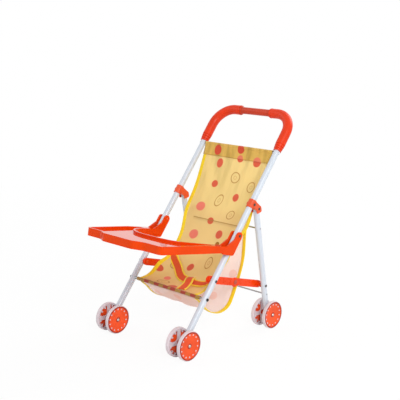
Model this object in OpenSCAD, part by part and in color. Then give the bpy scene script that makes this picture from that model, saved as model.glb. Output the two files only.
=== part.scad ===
// Folding doll stroller: steel tube frame, pair wheels, knee-jointed side links,
// swing-up play tray and a hammock seat with a sling basket below it.
// +Y runs to the back, +X to the right when seen from the front, Z = 0 is the floor.

/* [Overall] */
// Height from the floor to the top of the handle
overall_h = 440; // [420:1:460]
// Distance between the centre lines of the two side tubes
track = 198; // [190:1:206]
// Distance between the front and the rear axle
wheel_base = 245; // [235:1:255]
// Angle of the side tubes from the floor, in degrees
tube_angle = 52; // [50:0.5:54]

/* [Tubes and rods] */
// Outer diameter of the side tubes and the rear legs
tube_d = 12; // [11:0.5:12.5]
// Wall of the side tubes and the rear legs
tube_wall = 1; // [0.8:0.1:1.4]
// Diameter of the rods that carry the seat
rod_d = 4.4; // [4:0.2:5]
// Diameter of the cross wires between the rear legs
wire_d = 3; // [2.6:0.2:3.4]
// Length of tube below the axle
tube_tail = 8; // [7:0.5:9]
// Place of the front seat rod along the side tube, from the axle
front_rod_s = 92.6; // [90:0.5:96]
// Distance of the top seat rod below the grips, along the side tube
top_rod_drop = 4.4; // [4.2:0.2:8]
// Distance of the upper cross wire below the leg pivot
upper_wire_drop = 42.6; // [40:0.2:46]
// Distance of the lower cross wire below the leg pivot
lower_wire_drop = 187; // [184:0.5:190]

/* [Handle] */
// Outer diameter of the bent grips
grip_d = 20; // [19:0.5:21]
// Length of a grip along the tube, up to the bar's centre line
grip_len = 85; // [83:0.5:88]
// Depth of the tube inside the grip
grip_socket = 36; // [28:1:38]
// Centre line radius of the bend
grip_bend_r = 42; // [38:1:44]
// Distance from the middle of the handle to the end of a grip
grip_end_x = 40; // [36:1:44]
// Diameter of the bar between the grips
bar_d = 14.5; // [13.5:0.5:15.5]
// How far the lip at a grip's end stands out
grip_lip = 0.3; // [0.2:0.1:0.5]

/* [Leg clamps] */
// Place of the clamps along the side tube, from the axle
clamp_s = 301; // [297:1:305]
// Length of the collar along the tube
clamp_len = 17; // [16.6:0.2:18]
// Wall of the collar
clamp_wall = 1.8; // [1.6:0.1:2.2]
// Distance of the leg pivot behind the side tube's centre line
pivot_p = 18.5; // [18:0.5:20]
// Thickness of the cheeks that hold the leg
lobe_wall = 2; // [1.8:0.1:2.4]
// Radius of the cheeks' round top
lobe_r = 6.8; // [6.6:0.1:7.2]
// How far the cheeks reach down the leg, from its pivot
lobe_drop = 8; // [7:0.5:10]

/* [Side links] */
// Place of the front link pivot along the side tube
link_s = 131.4; // [129:0.2:134]
// Distance of the rear link pivot from the leg pivot, along the leg
link_leg = 168; // [165:0.5:171]
// Thickness of a link
link_t = 3; // [2.6:0.1:3.2]
// Width of a link
link_w = 15; // [14:0.5:16]
// Radius of the front link's round end at the knee
knee_r = 9.3; // [8.8:0.1:9.6]

/* [Tray] */
// Height of the tray's outer wall
tray_h = 15.4; // [14:0.2:17]
// Wall of the tray
tray_wall = 2; // [1.6:0.1:2.2]
// Slope of the tray, front edge up, in degrees
tray_pitch = 8.8; // [8:0.2:10]
// How far the tray's sides stand outside the side tubes' centre lines
tray_over = 3; // [2:0.5:5]
// Distance from the side tubes to the front corners' edge
tray_corner_v = 185.5; // [180:0.5:188]
// Distance from the side tubes to the bowed front edge
tray_front_v = 198.3; // [194:0.5:202]
// Distance from the side tubes to the middle of the rear cut-out
tray_rear_v = 110; // [104:1:114]
// How far an arm's inner edge stands inside its inner ear
arm_edge = 1.2; // [0.8:0.1:1.6]
// Height of the arms at the ears
arm_h = 11.6; // [11.2:0.1:12.4]
// Distance from the side tubes to where the arms begin to get lower
arm_v = 75; // [70:1:80]
// Depth of the recess in the tray's top
tray_recess = 4.4; // [3.6:0.2:5]
// Distance from the side tubes to the recess
recess_v = 45; // [42:1:60]
// Width of the tray's rim
tray_rim = 3.2; // [2.8:0.1:3.6]
// Place of the tray pins along the side tube
tray_pin_s = 231; // [229:0.5:233]
// Thickness of the outer ears
ear_t = 3.5; // [3:0.1:4]
// Thickness of the inner ears
inner_ear_t = 3; // [2.6:0.1:3.2]
// Width of an ear, across the tube
ear_w = 15; // [14:0.5:16]

/* [Wheels] */
// Diameter of the wheels over the tyres
wheel_d = 57; // [56:1:59]
// Width over a pair of wheels
pair_w = 37; // [36:0.5:38]
// Width of one wheel
disc_w = 8; // [7.5:0.5:8.5]
// Thickness of the tyre band
tyre_t = 1.6; // [1.4:0.1:2.4]
// Diameter of the axles
axle_d = 3; // [2.8:0.1:3.4]
// Number of holes round each wheel
wheel_holes = 14; // [8:1:16]
// Diameter of those holes, which the wheel body's pegs fill
wheel_hole_d = 3; // [2.4:0.2:3.4]
// Number of windows in the back of each wheel
wheel_windows = 4; // [3:1:6]
// Width of the spokes between those windows
spoke_w = 8; // [6:0.5:9]

/* [Fabric] */
// Thickness of the seat fabric
cloth_t = 1.2; // [1:0.1:1.6]
// Distance of the seat back's top corners from the side tubes
back_gap = 3; // [2.5:0.5:6]
// Distance of the seat and the basket from the side links
seat_gap = 3.2; // [2.4:0.2:6]
// Place of the seam across the sling's back along the side tubes, from the axle
seam_s = 254.5; // [252:0.5:257]
// How far the seat sags behind the side tubes
seat_sag = 45; // [43:0.5:47]
// How far the basket hangs behind the side tubes
basket_sag = 99; // [96:0.5:101]
// Width of the harness straps
strap_w = 18; // [16:1:20]

/* [Clearances] */
// Radial clearance of a pin in a turning part
run_gap = 0.06; // [0.04:0.01:0.1]
// Clearance between faces that move past each other, and round soft parts
face_gap = 0.3; // [0.25:0.05:0.35]
// Radial clearance of fixed pieces in each other
fix_gap = 0.03; // [0.02:0.01:0.05]

/* [Hidden] */
$fn = 48;
wheel_r = wheel_d / 2;
tube_r = tube_d / 2;
half_track = track / 2;
grip_r = grip_d / 2;
bar_r = bar_d / 2;
lip_r = grip_r + grip_lip;
rod_r = rod_d / 2;
wire_r = wire_d / 2;
axle_r = axle_d / 2;
rivet_r = 1.8;
head_r = 2.8;
head_h = 1.1;
ring_r = 4.6;
cap_r = 2.9;
eps = 0.01;

// Side view places: s runs up along the side tube from the front axle, p lies behind it.
function at_y(s, p = 0) = s * cos(tube_angle) + p * sin(tube_angle);
function at_z(s, p = 0) = wheel_r + s * sin(tube_angle) - p * cos(tube_angle);

bar_s = (overall_h - lip_r - wheel_r) / sin(tube_angle);
grip_s = bar_s - grip_len;
top_rod_s = grip_s - top_rod_drop;

// Side view of the pivots, as [y, z]
leg_pivot = [at_y(clamp_s + 1, pivot_p), at_z(clamp_s + 1, pivot_p)];
rear_axle = [wheel_base, wheel_r];
leg_len = norm(rear_axle - leg_pivot);
leg_dir = (rear_axle - leg_pivot) / leg_len;
leg_tilt = atan2(leg_dir[0], -leg_dir[1]);
front_pin = [at_y(link_s), at_z(link_s)];
rear_pin = leg_pivot + leg_dir * link_leg;
knee_pin = (front_pin + rear_pin) / 2;
link_len = norm(rear_pin - front_pin) / 2;
link_dir = (rear_pin - front_pin) / (2 * link_len);
link_tilt = atan2(link_dir[1], link_dir[0]);

// The tray's own frame: v runs forward from the side tubes, h up through the wall.
tray_root_s = 194.4;
tray_root = [at_y(tray_root_s), at_z(tray_root_s)];
tray_front_y = tray_root[0] - tray_front_v * cos(tray_pitch);

// The model stands with the middle of its length at Y = 0.
y_mid = (at_y(bar_s) + lip_r + tray_front_y) / 2;

// The clamps' collars and cheeks, and the bosses that their screws' heads sit on
collar_r = tube_r + clamp_wall;
cheek_x = tube_r + face_gap + lobe_wall;
screw_x = max(collar_r, cheek_x) + 0.3;

// The wheels' discs, and the webs behind them that carry their pegs
rim_r = wheel_r - tyre_t;
rim_back = 4.4;
web_z = 5.6;
hub_r = 5;
peg_ring = rim_r * 0.8;

// Layers across the side, measured from the middle of the object
tube_in = half_track - tube_r;
tube_out = half_track + tube_r;
inner_ear_x = tube_in - face_gap - inner_ear_t;
outer_ear_x = tube_out + face_gap;
link_x = inner_ear_x - face_gap - head_h - face_gap - link_t;
rear_link_x = link_x - face_gap - link_t;
back_half = tube_in - back_gap;
seat_half = rear_link_x - seat_gap;
tray_half = half_track + tray_over;
tray_cut_half = inner_ear_x - arm_edge;
floor_h = tray_h - tray_recess;

// ---- placing ----

// Moves a piece from the axle's frame to the middle of the length.
module centred() {
    translate([0, -y_mid, 0]) children();
}

// Puts a piece at a place on the side view.
module at_place(yz) {
    centred() translate([0, yz[0], yz[1]]) children();
}

// Local Z runs up the side tube and local Y points behind it.
module on_tube(s, p = 0) {
    at_place([at_y(s, p), at_z(s, p)]) rotate([tube_angle - 90, 0, 0]) children();
}

// Local Z runs up the rear leg from its axle.
module on_leg(from_axle) {
    at_place(rear_axle - leg_dir * from_axle) rotate([leg_tilt, 0, 0]) children();
}

// Side +1 is the right, -1 the left.
module on_side(side) {
    if (side > 0) children();
    else mirror([1, 0, 0]) children();
}

module both_sides() {
    children();
    mirror([1, 0, 0]) children();
}

module cyl_x(r, x0, x1) {
    translate([x0, 0, 0]) rotate([0, 90, 0]) cylinder(r = r, h = x1 - x0);
}

// ---- fasteners ----

// A rivet along X with a domed head outside each of its ends.
module rivet_x(r, x0, x1, big, high) {
    dome = [for (a = [0:15:90]) [big * cos(a), high * (0.35 + 0.65 * sin(a))]];
    profile = concat(
        [[0, 0], [r, 0], [r, x1 - x0], [big, x1 - x0]],
        [for (q = dome) [q[0], x1 - x0 + q[1]]]
    );
    translate([x0, 0, 0]) rotate([0, 90, 0]) {
        rotate_extrude() polygon(profile);
        mirror([0, 0, 1]) rotate_extrude() polygon(concat([[0, 0], [big, 0]], dome));
    }
}

// A push-on cap that grips a rod's end.
module rod_cap(r) {
    difference() {
        rotate_extrude() polygon([[0, 0], [cap_r, 0], [cap_r, 1.4], [cap_r - 1, 2.4], [0, 2.8]]);
        translate([0, 0, -eps]) cylinder(r = r + fix_gap, h = 1.2 + eps);
    }
}

// ---- frame ----

module side_tube(side) {
    color("gainsboro") on_side(side) on_tube(0) translate([half_track, 0, 0])
        difference() {
            translate([0, 0, -tube_tail]) cylinder(r = tube_r, h = tube_tail + grip_s + grip_socket);
            translate([0, 0, -tube_tail - 1])
                cylinder(r = tube_r - tube_wall, h = tube_tail + grip_s + grip_socket + 2);
            for (hole = [
                [0, axle_r + run_gap], [front_rod_s, rod_r + fix_gap], [top_rod_s, rod_r + fix_gap],
                [link_s, rivet_r + fix_gap], [tray_pin_s, rivet_r + fix_gap], [clamp_s, rivet_r + fix_gap]
            ])
                translate([0, 0, hole[0]]) cyl_x(hole[1], -tube_d, tube_d);
        }
}

// A grip from its ribbed end up the tube, round the bend and inward to its lip.
module handle_grip(side) {
    rise = bar_s - grip_s - grip_bend_r;
    run = half_track - grip_bend_r - grip_end_x;
    ribs = [
        [0, 0], [grip_r - 1.9, 0], [grip_r - 1.7, 3], [grip_r - 2.7, 3.4], [grip_r - 2.7, 4.6],
        [grip_r - 1.1, 5], [grip_r - 0.9, 8], [grip_r - 1.9, 8.4], [grip_r - 1.9, 9.6],
        [grip_r - 0.5, 10], [grip_r - 0.3, 13], [grip_r - 1.2, 13.4], [grip_r - 1.2, 14.6],
        [grip_r, 15], [grip_r, rise], [0, rise]
    ];
    color("tomato") on_side(side) on_tube(grip_s) translate([half_track, 0, 0])
        difference() {
            union() {
                rotate_extrude() polygon(ribs);
                translate([-grip_bend_r, 0, rise]) rotate([90, 0, 0])
                    rotate_extrude(angle = 90) translate([grip_bend_r, 0]) circle(r = grip_r);
                translate([-grip_bend_r - run, 0, rise + grip_bend_r]) rotate([0, 90, 0]) {
                    cylinder(r = grip_r, h = run);
                    rotate_extrude() polygon([[0, 0], [lip_r - 1, 0], [lip_r, 1], [lip_r, 3], [0, 3]]);
                }
            }
            translate([0, 0, -1]) cylinder(r = tube_r + fix_gap, h = grip_socket + 1.2);
            translate([-grip_bend_r - run - 1, 0, rise + grip_bend_r]) rotate([0, 90, 0])
                cylinder(r = bar_r + fix_gap, h = 9);
        }
}

// The bar between the grips, with a collar against each grip's end.
module handle_bar() {
    inside = 7.5;
    ring = grip_r - 0.8;
    color("orangered") on_tube(bar_s) {
        cyl_x(bar_r, -grip_end_x - inside, grip_end_x + inside);
        both_sides() translate([grip_end_x, 0, 0]) rotate([0, -90, 0])
            rotate_extrude() polygon([[bar_r - 1, 0.1], [ring, 0.1], [ring, 1.6], [bar_r - 1, 3.4]]);
    }
}

// The collar round the tube and the two cheeks behind it, with the leg's top between them.
module leg_clamp(side) {
    color("tomato") on_side(side) on_tube(clamp_s) translate([half_track, 0, 0])
        difference() {
            union() {
                translate([0, 0, -clamp_len / 2]) cylinder(r = collar_r, h = clamp_len);
                cyl_x(head_r + 1, -screw_x, screw_x);
                plate_x(-cheek_x, 2 * cheek_x) {
                    translate([pivot_p, 1]) rotate(leg_tilt + 90 - tube_angle) cheek();
                    translate([0, 1.3 - lobe_r]) square([pivot_p, 2 * lobe_r - 0.6]);
                }
            }
            translate([0, 0, -clamp_len]) cylinder(r = tube_r + fix_gap, h = 2 * clamp_len);
            cyl_x(rivet_r + fix_gap, -2 * tube_d, 2 * tube_d);
            translate([0, pivot_p, 1]) cyl_x(rivet_r + fix_gap, -2 * tube_d, 2 * tube_d);
            translate([0, pivot_p, 1]) leg_space();
        }
}

// A cheek's outline about the pivot, reaching down along the leg.
module cheek() {
    circle(r = lobe_r);
    polygon([
        [-lobe_r, 0], [-lobe_r, 1.5 - lobe_drop], [1.5 - lobe_r, -lobe_drop],
        [lobe_r - 2, -lobe_drop], [lobe_r, 2 - lobe_drop], [lobe_r, 0]
    ]);
}

// The space between the cheeks, open behind and below for the leg's way as it folds forward.
module leg_space() {
    swing_r = tube_r + 2 * face_gap + 0.3;
    side = swing_r - 0.05;
    far = 2 * tube_d;
    half = tube_r + face_gap;
    plate_x(-half, 2 * half) {
        circle(r = swing_r);
        polygon([[-side, 0], [-side, -far], [far, -far], [far, far], [-3, far], [-3, 0]]);
    }
}

module clamp_screws() {
    color("black") both_sides() on_tube(clamp_s)
        rivet_x(rivet_r, half_track - screw_x, half_track + screw_x, head_r, head_h);
}

module leg_rivets() {
    over = lobe_wall + face_gap;
    color("black") both_sides() at_place(leg_pivot)
        rivet_x(rivet_r, tube_in - over, tube_out + over, head_r, head_h);
}

module seat_rod(s) {
    color("silver") on_tube(s) cyl_x(rod_r, -tube_out - 1.2, tube_out + 1.2);
}

module rod_caps(s) {
    color("black") on_tube(s) both_sides() translate([tube_out, 0, 0]) rotate([0, 90, 0]) rod_cap(rod_r);
}

module front_link_rivets() {
    color("black") both_sides() at_place(front_pin)
        rivet_x(rivet_r, link_x - face_gap, tube_out, head_r, head_h);
}

module tray_pins() {
    color("black") both_sides() on_tube(tray_pin_s)
        rivet_x(rivet_r, inner_ear_x - face_gap, outer_ear_x + ear_t + face_gap, head_r, head_h);
}

// ---- rear legs ----

// A leg with its top rounded about the pivot.
module rear_leg(side) {
    long = leg_len + tube_d;
    color("gainsboro") on_side(side) on_leg(0) translate([half_track, 0, 0])
        difference() {
            intersection() {
                translate([0, 0, -tube_tail]) cylinder(r = tube_r, h = tube_tail + long);
                union() {
                    translate([-tube_d, -tube_d, -tube_d]) cube([2 * tube_d, 2 * tube_d, long]);
                    translate([0, 0, leg_len]) cyl_x(tube_r + face_gap, -tube_d, tube_d);
                }
            }
            translate([0, 0, -tube_tail - 1]) cylinder(r = tube_r - tube_wall, h = long + 2 * tube_tail);
            cyl_x(axle_r + run_gap, -tube_d, tube_d);
            translate([0, 0, leg_len]) cyl_x(rivet_r + run_gap, -tube_d, tube_d);
            translate([0, 0, leg_len - link_leg]) cyl_x(rivet_r + fix_gap, -tube_d, tube_d);
            for (z = [upper_wire_at, lower_wire_at])
                translate([0, 0, z]) cyl_x(wire_r + fix_gap, -tube_d, tube_d);
        }
}

// Places of the cross wires up the leg from the axle
upper_wire_at = leg_len - upper_wire_drop;
lower_wire_at = leg_len - lower_wire_drop;

module cross_wire(from_axle) {
    color("silver") on_leg(from_axle) cyl_x(wire_r, -tube_out - 0.4, tube_out + 0.4);
}

module rear_link_rivets() {
    color("black") both_sides() at_place(rear_pin)
        rivet_x(rivet_r, rear_link_x - face_gap, tube_out, head_r, head_h);
}

// ---- side links ----

// Local X runs across, local Y along the links from front to back.
module on_link(yz) {
    at_place(yz) rotate([link_tilt, 0, 0]) children();
}

// Stands an outline drawn in the side view up as a plate.
module plate_x(x0, thick) {
    translate([x0, 0, 0]) rotate([90, 0, 90]) linear_extrude(thick) children();
}

module front_link(side) {
    color("orangered") on_side(side) on_link(front_pin)
        difference() {
            union() {
                plate_x(link_x, link_t) {
                    circle(r = link_w / 2);
                    translate([0, -link_w / 2]) square([link_len, link_w]);
                    translate([link_len, -0.6]) circle(r = knee_r);
                }
                cyl_x(5, link_x + link_t - eps, tube_in - face_gap);
                for (y = [link_len - 17, link_len - 13])
                    translate([link_x + link_t - eps, y, -4.5]) cube([0.6, 1.4, 6]);
            }
            cyl_x(rivet_r + run_gap, 0, half_track);
            translate([0, link_len, 0]) cyl_x(rivet_r + fix_gap, 0, half_track);
        }
}

// The knee rivets end inside the front links, where the linkage is open.
module knee_rivets() {
    ring = [
        [0, 0], [ring_r, 0], [ring_r, 0.7], [ring_r - 1, head_h],
        [rivet_r + 0.2, head_h], [rivet_r, 0.7], [0, 0.7]
    ];
    color("salmon") both_sides() on_link(knee_pin) {
        cyl_x(rivet_r, link_x, link_x + link_t);
        translate([link_x + link_t, 0, 0]) rotate([0, 90, 0]) rotate_extrude() polygon(ring);
    }
}

// The rear link hangs on the leg and laps inside the front link, with a notch beside the knee.
module rear_link(side) {
    edge = -link_w / 2;
    color("orangered") on_side(side) on_link(knee_pin)
        difference() {
            union() {
                plate_x(rear_link_x, link_t) {
                    circle(r = link_w / 2);
                    difference() {
                        translate([0, edge]) square([link_len, link_w]);
                        polygon([[13, 2 * edge], [15.5, edge + 3.2], [20.5, edge - eps], [20.5, 2 * edge]]);
                    }
                    translate([link_len, 0]) circle(r = link_w / 2);
                }
                translate([0, link_len, 0]) cyl_x(5, rear_link_x + link_t - eps, tube_in - face_gap);
            }
            translate([0, link_len, 0]) cyl_x(rivet_r + run_gap, 0, half_track);
        }
}

// ---- tray ----

function arc(c, r, a0, a1, n) =
    [for (i = [0:n]) let (a = a0 + (a1 - a0) * i / n) c + r * [cos(a), sin(a)]];
function flip(pts) = [for (i = [len(pts) - 1:-1:0]) [-pts[i][0], pts[i][1]]];

// The right half of the outline, from the ear forward round the corner to the middle of the front.
function tray_edge(inset) =
    let (
        corner = 9,
        bow_steps = 8,
        outer = outer_ear_x + ear_t - inset,
        side_x = tray_half - inset,
        front_v = tray_corner_v - inset,
        bow = tray_front_v - tray_corner_v,
        bow_out = tray_half * 0.62 - inset / 2,
        bow_in = tray_half * 0.33 - inset / 2
    )
    concat(
        [[outer, 0], [outer - 0.5, 30]],
        arc([side_x - corner, front_v - corner], corner, 0, 90, 6),
        [for (i = [0:bow_steps]) let (t = i / bow_steps)
            [bow_out + (bow_in - bow_out) * t, front_v + bow * (1 - cos(180 * t)) / 2]],
        [[0, front_v + bow]]
    );

// The right half of the rear cut-out, from the middle round to the arm's end.
function tray_cut(inset) =
    let (a = tray_cut_half + inset, b = tray_rear_v + inset, bend = 3)
    [for (t = [90:-7.5:0]) [a * pow(cos(t), 2 / bend), b * pow(sin(t), 2 / bend)]];

function tray_outline(inset) =
    let (right = tray_edge(inset), cut = tray_cut(inset))
    concat(right, flip(piece(right, 0, len(right) - 2)), flip(cut), piece(cut, 1, len(cut) - 1));

// Local Y runs backward along the tray, local Z up through its wall.
module on_tray() {
    at_place(tray_root) rotate([-tray_pitch, 0, 0]) children();
}

module tray_plan(inset) {
    mirror([0, 1]) polygon(tray_outline(inset));
}

// Stands a side view of the tray, drawn forward and up, across its whole width.
module tray_side() {
    mirror([0, 1, 0]) plate_x(-2 * tray_half, 4 * tray_half) children();
}

// An ear beside the tube, with its round top about the pin and its heel on the arm's end.
module ear(x0, thick) {
    half = ear_w / 2;
    low = tray_root_s - tray_pin_s;
    on_tube(tray_pin_s) plate_x(x0, thick) {
        circle(r = half);
        polygon([
            [-half, 0], [half, 0], [half, low - 0.5], [half - 1.2, low - 2.6], [half - 4, low - 4.6],
            [half - 28.5, low - 14.2], [half - 31, low - 12], [half - 31.6, low - 2], [half - 26.3, low + 5],
            [half - 21.1, low + 14], [-half, low + 24]
        ]);
    }
}

module tray() {
    web = tube_r + face_gap;
    rib = 1.4;
    back = 50;
    end_h = tray_h - (tray_h - arm_h) * (arm_v + back) / arm_v;
    color("tomato") difference() {
        union() {
            on_tray() difference() {
                linear_extrude(tray_h) tray_plan(0);
                translate([0, 0, floor_h]) linear_extrude(tray_h) intersection() {
                    tray_plan(tray_rim);
                    translate([-tray_half, -tray_front_v]) square([2 * tray_half, tray_front_v - recess_v]);
                }
                difference() {
                    translate([0, 0, -1]) linear_extrude(floor_h - tray_wall + 1) tray_plan(tray_wall);
                    both_sides() translate([tray_half * 0.36, -tray_front_v, -2])
                        cube([rib, tray_front_v, tray_h]);
                }
                tray_side()
                    polygon([[arm_v, tray_h], [-back, end_h], [-back, 2 * tray_h], [arm_v, 2 * tray_h]]);
            }
            both_sides() {
                ear(outer_ear_x, ear_t);
                ear(inner_ear_x, inner_ear_t);
            }
        }
        // the tube's way between the ears
        both_sides() on_tube(tray_pin_s) translate([tube_in - face_gap, -web, -80])
            cube([tube_d + 2 * face_gap, 60, 120]);
        both_sides() on_tube(tray_pin_s) cyl_x(rivet_r + run_gap, tube_in - 20, tube_out + 20);
    }
}

// ---- wheels ----

// A wheel's dished disc about local Z, its face up and its hub reaching in to the tube.
module wheel_disc() {
    hub = pair_w / 2 - tube_r - face_gap;
    difference() {
        rotate_extrude() polygon([
            [axle_r + fix_gap, 1.8], [5.2, 1.8], [6.2, 2.6], [rim_r * 0.6, 2.4], [rim_r - 4.2, 1.6],
            [rim_r - 2.4, 0], [rim_r, 0], [rim_r, rim_back], [hub_r + 1, rim_back + 0.2], [hub_r, web_z],
            [4.4, hub], [axle_r + fix_gap, hub]
        ]);
        on_pegs() translate([0, 0, -1]) cylinder(d = wheel_hole_d, h = disc_w);
    }
    for (i = [0:5])
        rotate(i * 60) translate([4.8, -0.8, rim_back - 0.4]) cube([rim_r - 12, 1.6, 1.2]);
}

module on_pegs() {
    for (i = [0:wheel_holes - 1])
        rotate(i * 360 / wheel_holes) translate([peg_ring, 0, 0]) children();
}

// The wheel's body: tyre band, web with windows behind the disc, and the pegs that hold the disc.
module wheel_body() {
    seat_r = rim_r + fix_gap;
    hole_r = wheel_hole_d / 2;
    web_end = disc_w - 0.4;
    difference() {
        rotate_extrude() polygon([
            [seat_r, 0.5], [wheel_r - 1.2, 0.2], [wheel_r - 0.3, 0.8], [wheel_r, 1.8],
            [wheel_r, disc_w - 1.4], [wheel_r - 0.4, disc_w - 0.6], [wheel_r - 1.2, disc_w],
            [rim_r - 0.5, disc_w], [rim_r - 1.2, web_end], [hub_r + fix_gap, web_end],
            [hub_r + fix_gap, web_z], [rim_r - 1.5, web_z], [rim_r - 1.5, rim_back + fix_gap],
            [seat_r, rim_back + fix_gap]
        ]);
        translate([0, 0, web_z - 1]) linear_extrude(disc_w) difference() {
            circle(r = rim_r - 2.6);
            circle(r = hub_r + 3);
            for (i = [0:wheel_windows - 1])
                rotate(i * 360 / wheel_windows) translate([0, -spoke_w / 2]) square([wheel_r, spoke_w]);
            // tabs that carry the pegs from the rim
            on_pegs() {
                circle(r = hole_r + 0.3);
                translate([0, -hole_r]) square([rim_r - peg_ring, 2 * hole_r]);
            }
        }
    }
    on_pegs() translate([0, 0, 1.6]) cylinder(r = hole_r - fix_gap, h = web_z - 1.5);
}

// Puts a wheel at both outer faces of a pair, face outward.
module pair(side, place) {
    on_side(side) at_place(place) translate([half_track, 0, 0]) {
        translate([pair_w / 2, 0, 0]) rotate([0, -90, 0]) children();
        translate([-pair_w / 2, 0, 0]) rotate([0, 90, 0]) children();
    }
}

module wheels(side, place) {
    color("tomato") pair(side, place) wheel_disc();
}

module tyres(side, place) {
    color("mistyrose") pair(side, place) wheel_body();
}

// The axle with a pressed cap in each dished face.
module axle(side, place) {
    color("silver") on_side(side) at_place(place) translate([half_track, 0, 0]) {
        cyl_x(axle_r, -pair_w / 2 + 1, pair_w / 2 - 1);
        both_sides() translate([pair_w / 2 - 1.8, 0, 0]) rotate([0, 90, 0])
            rotate_extrude() polygon([[0, 0], [cap_r, 0], [cap_r, 0.6], [2.2, 1.4], [0, 1.7]]);
    }
}

// ---- fabric ----

// Middle of the cloth that is hemmed round a rod, from the rod's centre
sleeve_mid = rod_r + face_gap + cloth_t / 2;

// Share of the way from the front rod to the top rod at which the seam lies
seam_share = 0.495;

// A place by that share and its depth behind the rods. A higher handle stretches only what is above the seam.
function hung(share, depth) =
    let (
        up = share > seam_share,
        s = up ? seam_s + (share - seam_share) / (1 - seam_share) * (top_rod_s - seam_s)
            : front_rod_s + share / seam_share * (seam_s - front_rod_s)
    )
    [at_y(s, depth), at_z(s, depth)];

// The seat's side view, from the top rod down the back: shares of the way, and of the sag
seat_curve = [
    [0.88, 0.31], [0.77, 0.575], [0.68, 0.667], [0.606, 0.696], [0.547, 0.753], [seam_share, 0.842], [0.428, 0.9],
    [0.35, 0.956], [0.269, 0.993], [0.207, 0.984], [0.147, 0.876], [0.096, 0.664], [0.054, 0.396]
];
seat_line = concat(
    [[at_y(top_rod_s, sleeve_mid), at_z(top_rod_s, sleeve_mid)]],
    [for (q = seat_curve) hung(q[0], q[1] * seat_sag)],
    [[at_y(front_rod_s) + 1, at_z(front_rod_s) + sleeve_mid]]
);
back_last = 5;
seam_last = 6;

// The basket's side view, from under the front rod round to its seam behind the seat
basket_seam_p = seat_curve[seam_last - 1][1] * seat_sag + cloth_t + face_gap + 0.4;
basket_curve = [
    [-0.01, -0.35], [-0.02, 0], [-0.017, 0.345], [0.008, 0.686], [0.05, 0.909], [0.094, 1],
    [0.148, 0.975], [0.215, 0.877], [0.285, 0.743], [0.358, 0.554], [0.43, 0.296], [0.488, 0.03]
];
basket_line = concat(
    [[at_y(front_rod_s) + 1, at_z(front_rod_s) - sleeve_mid - cloth_t - face_gap]],
    [for (q = basket_curve) hung(q[0], basket_seam_p + q[1] * (basket_sag - basket_seam_p))]
);
floor_last = 5;

function piece(line, from, to) = [for (i = [from:to]) line[i]];
function piece_back(line) = [for (i = [len(line) - 1:-1:0]) line[i]];

// The two faces of a sheet that follows a side view line, as one closed outline.
function sheet(line, t) =
    let (
        n = len(line),
        way = [for (i = [0:n - 1]) let (d = line[min(i + 1, n - 1)] - line[max(i - 1, 0)]) d / norm(d)]
    )
    concat(
        [for (i = [0:n - 1]) line[i] + t / 2 * [-way[i][1], way[i][0]]],
        [for (i = [n - 1:-1:0]) line[i] - t / 2 * [-way[i][1], way[i][0]]]
    );

module cloth(line, half) {
    centred() plate_x(-half, 2 * half) polygon(sheet(line, cloth_t));
}

module sleeve(s, half) {
    on_tube(s) difference() {
        cyl_x(rod_r + face_gap + cloth_t, -half, half);
        cyl_x(rod_r + face_gap, -half - 1, half + 1);
    }
}

// Half width of the sling between the seat and the top rod
function sling_half(share) = seat_half + share * (back_half - seat_half);

// The right half of the sling's outline seen from behind, down to the seat.
sling_edge = [
    [back_half, seat_line[0][1] + 2 * tube_d],
    [back_half, seat_line[0][1]],
    [sling_half(0.7), seat_line[5][1]],
    [sling_half(0.35), seat_line[8][1]],
    [seat_half, seat_line[9][1]],
    [seat_half, 0]
];

module sling_plan() {
    centred() translate([0, overall_h, 0]) rotate([90, 0, 0]) linear_extrude(overall_h)
        polygon(concat(sling_edge, flip(sling_edge)));
}

// The back of the seat, hemmed round the top rod and narrowing downward.
module seat_back() {
    color("khaki") {
        sleeve(top_rod_s, back_half);
        intersection() {
            cloth(piece(seat_line, 0, back_last), back_half + 1);
            sling_plan();
        }
    }
}

module seat_seam() {
    joint = piece(seat_line, back_last, seam_last);
    along = (joint[1] - joint[0]) / norm(joint[1] - joint[0]);
    color("gold") cloth([joint[0] + along * face_gap, joint[1] - along * face_gap], seat_half);
}

module seat_bottom() {
    color("khaki") {
        sleeve(front_rod_s, seat_half);
        intersection() {
            cloth(piece(seat_line, seam_last, len(seat_line) - 1), back_half);
            sling_plan();
        }
    }
}

module basket_floor() {
    color("pink") cloth(piece(basket_line, 0, floor_last), seat_half - 1);
}

module basket_back() {
    last = len(basket_line) - 1;
    first = basket_line[floor_last];
    along = (basket_line[floor_last + 1] - first) / norm(basket_line[floor_last + 1] - first);
    rest = piece(basket_line, floor_last + 1, last);
    color("pink") cloth(concat([first + along * face_gap], rest), seat_half - 1);
}

// ---- harness ----

// The lap belt bows forward from the seat's sides.
belt_bow = 45;
belt_tilt = 26;
belt_root = hung(0.2346, seat_sag - 2.5);
belt_fore = [cos(belt_tilt), sin(belt_tilt)];
belt_up = [-sin(belt_tilt), cos(belt_tilt)];

module waist_belt() {
    half = seat_half - 3;
    bow = [for (t = [-90:7.5:90]) [half * sin(t), -belt_bow * cos(t)]];
    inner = [for (q = bow) q * (1 - cloth_t / half) + [0, cloth_t * 0.2]];
    color("orangered") at_place(belt_root) rotate([belt_tilt, 0, 0])
        linear_extrude(strap_w) polygon(concat(bow, piece_back(inner)));
}

// The crotch strap stands up from the seat's front and passes before the belt.
module crotch_strap() {
    rod = hung(0, 0);
    line = concat(
        [for (q = [[23, 4.8], [19, 5.9], [19.5, 9.3], [27, 14.5]]) rod + q],
        [for (q = [[4.6, 6.5], [1.2, 10.8]]) belt_root - (belt_bow + q[0]) * belt_fore + q[1] * belt_up]
    );
    color("orangered") centred() plate_x(-strap_w / 2, strap_w) polygon(sheet(line, cloth_t));
}

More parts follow.
